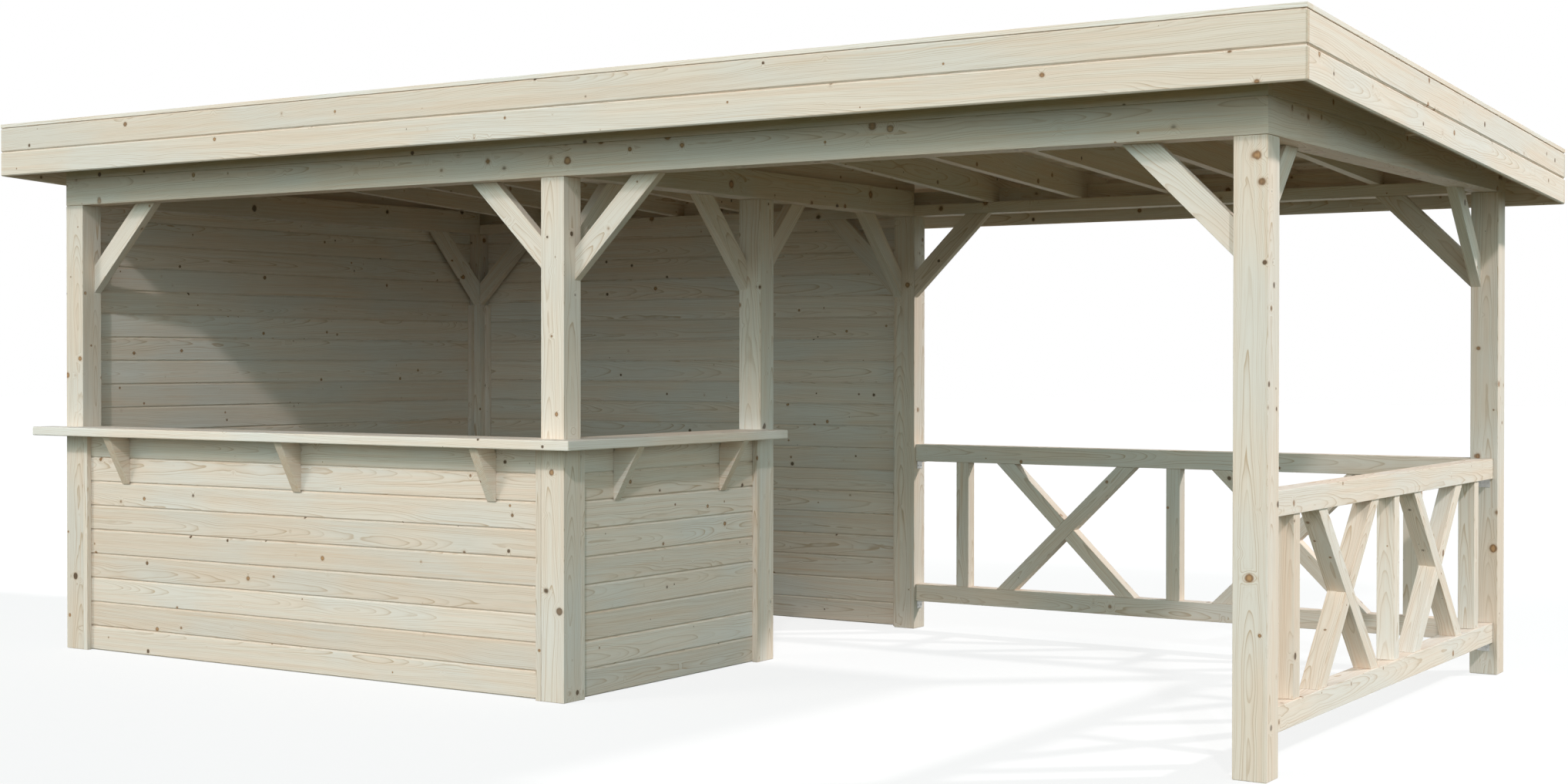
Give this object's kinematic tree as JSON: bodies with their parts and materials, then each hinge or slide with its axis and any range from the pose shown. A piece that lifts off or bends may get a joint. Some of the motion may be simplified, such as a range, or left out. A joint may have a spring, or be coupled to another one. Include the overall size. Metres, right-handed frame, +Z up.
{
  "type": "wooden garden pavilion",
  "caption": "Open-sided timber garden pavilion with a low flat roof, knee-braced posts, a boarded bar corner with an L-shaped counter, and crossed railings.",
  "frame": {"origin": "ground level under the middle of the roof and post plan", "axes": "+X along the long front to the right, -Y out of the front, +Z up"},
  "size_m": [6.4, 3.7, 2.5735],
  "materials": {
    "spruce": "planed, untreated",
    "steel": "galvanised"
  },
  "bodies": {
    "root": {"post_front_left": "spruce", "post_front_middle": "spruce", "post_front_right": "spruce", "post_middle": "spruce", "post_back_left": "spruce", "post_back_middle": "spruce", "post_back_right": "spruce", "beam_front": "spruce", "beam_back": "spruce", "beam_left": "spruce", "beam_right": "spruce", "beam_middle": "spruce", "braces_front": "spruce", "braces_back": "spruce", "braces_left": "spruce", "braces_middle": "spruce", "braces_right": "spruce", "roof_riser": "spruce", "roof_wedges": "spruce", "rafters": "spruce", "overhang_noggings": "spruce", "roof_deck": "spruce", "fascia_front": "spruce", "fascia_back": "spruce", "fascia_left": "spruce", "fascia_right": "spruce", "cap_strips_long": "spruce", "cap_strips_side": "spruce", "wall_left": "spruce", "wall_back": "spruce", "wall_bar_front": "spruce", "wall_bar_side": "spruce", "wall_battens": "spruce", "counter_front": "spruce", "counter_side": "spruce", "counter_brackets": "spruce", "railing_back_rails": "spruce", "railing_back_balusters": "spruce", "railing_back_rising_bars": "spruce", "railing_back_falling_bars": "spruce", "railing_right_rails": "spruce", "railing_right_balusters": "spruce", "railing_right_rising_bars": "spruce", "railing_right_falling_bars": "spruce", "railing_angles": "steel"}
  },
  "joints": []
}
